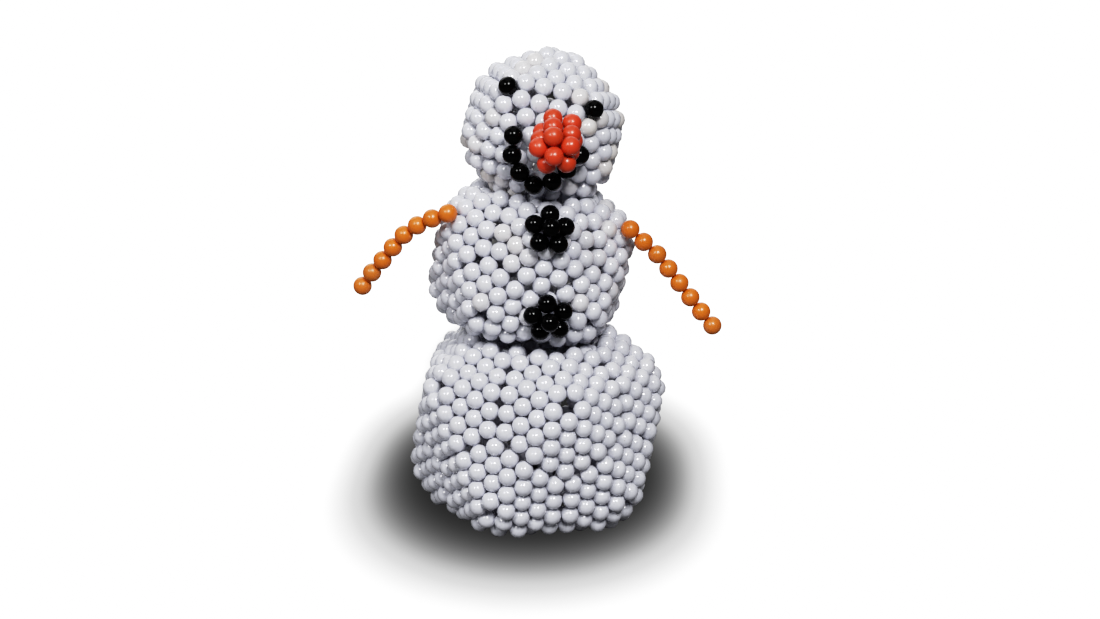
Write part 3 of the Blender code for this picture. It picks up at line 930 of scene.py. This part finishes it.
def studio():
    """White paper floor, a dim surround, soft boxes in front and above, and panels all round."""
    mesh = bpy.data.meshes.new("floor")
    half = FLOOR_WIDTH / 2.0
    corners = [(-half, -half, 0.0), (half, -half, 0.0), (half, half, 0.0), (-half, half, 0.0)]
    mesh.from_pydata(corners, [], [(0, 1, 2, 3)])
    mesh.materials.append(floor_paper())
    floor = bpy.data.objects.new("floor", mesh)
    bpy.context.scene.collection.objects.link(floor)
    bpy.context.scene.world = surround()
    for light in SOFT_LIGHTS:
        soft_light(*light)
    for light in INNER_LIGHTS:
        inner_light(*light)
    load_film(bpy.context.scene.view_settings)


# ---- the snowman ------------------------------------------------------------------------------

def numbered(stem, balls, digits):
    """The names of the solids that the balls stand for, counted from one."""
    return [f"{stem}_{k + 1:0{digits}d}" for k in range(len(balls))]


def three_shells():
    """Base, torso and head, each lower one making room for the one that rests on it."""
    head = Shell(faced_shell(HEAD_SIDE), None, HEAD_SHAPE, HEAD_CENTRE, HEAD_TURN)
    torso = Shell(patched_shell(TORSO_RINGS), TORSO_RIMS, TORSO_SHAPE, TORSO_CENTRE, TORSO_TURN)
    base = Shell(patched_shell(BASE_RINGS), BASE_RIMS, BASE_SHAPE, BASE_CENTRE, BASE_TURN)
    torso.make_room(head.balls)
    base.make_room(torso.balls)
    base.balls[:, 2] += 0.5 - base.balls[:, 2].min()  # its lowest ball stands on the floor
    return base, torso, head


def snowman():
    """The shells and the coloured balls, each piece in the place of the solids it stands for."""
    shades, lacquers = ball_shade_group(), lacquer_group()
    paints = {name: paint(name, shades, lacquers, **looks) for name, looks in PAINTS.items()}
    tree = painted_ball_net()

    def add_piece(name, centres, nodes, slot, seed, ball=LOOSE_BALL, warmest=1.0):
        values = {**ball, "Warmest": warmest, "Seed": seed, "Paint": paints[slot]}
        piece = ball_piece(name, centres, tree, values)
        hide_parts(*nodes)
        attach(piece, "root")

    base, torso, head = three_shells()
    add_piece("base_ball_net", base.balls, ["base_shell"], "white_paint", 3,
              SHELL_BALL, BASE_WARMEST)
    add_piece("torso_ball_net", torso.balls, ["torso_shell"], "white_paint", 5,
              SHELL_BALL, TORSO_WARMEST)
    add_piece("head_ball_net", head.balls, ["head_shell"], "white_paint", 8,
              SHELL_BALL, HEAD_WARMEST)

    left_eye, right_eye = eye_balls(head)
    add_piece("left_eye_ball", [left_eye], ["left_eye"], "black_paint", 13)
    add_piece("right_eye_ball", [right_eye], ["right_eye"], "black_paint", 14)
    left_arm = arm_balls(LEFT_ARM_ROOT, LEFT_ARM_HEADING, LEFT_ARM_SLOPES)
    right_arm = arm_balls(RIGHT_ARM_ROOT, RIGHT_ARM_HEADING, RIGHT_ARM_SLOPES)
    for stem, balls, digits, slot, seed in (
            ("mouth", mouth_balls(head), 1, "black_paint", 21),
            ("nose", nose_balls(), 2, "red_paint", 34),
            ("upper_button", upper_button(torso), 1, "black_paint", 55),
            ("lower_button", lower_button(torso), 1, "black_paint", 56),
            ("left_arm", left_arm, 1, "orange_paint", 89),
            ("right_arm", right_arm, 1, "orange_paint", 90)):
        add_piece(stem + "_balls", balls, numbered(stem, balls, digits), slot, seed)


snowman()
studio()
add_camera()
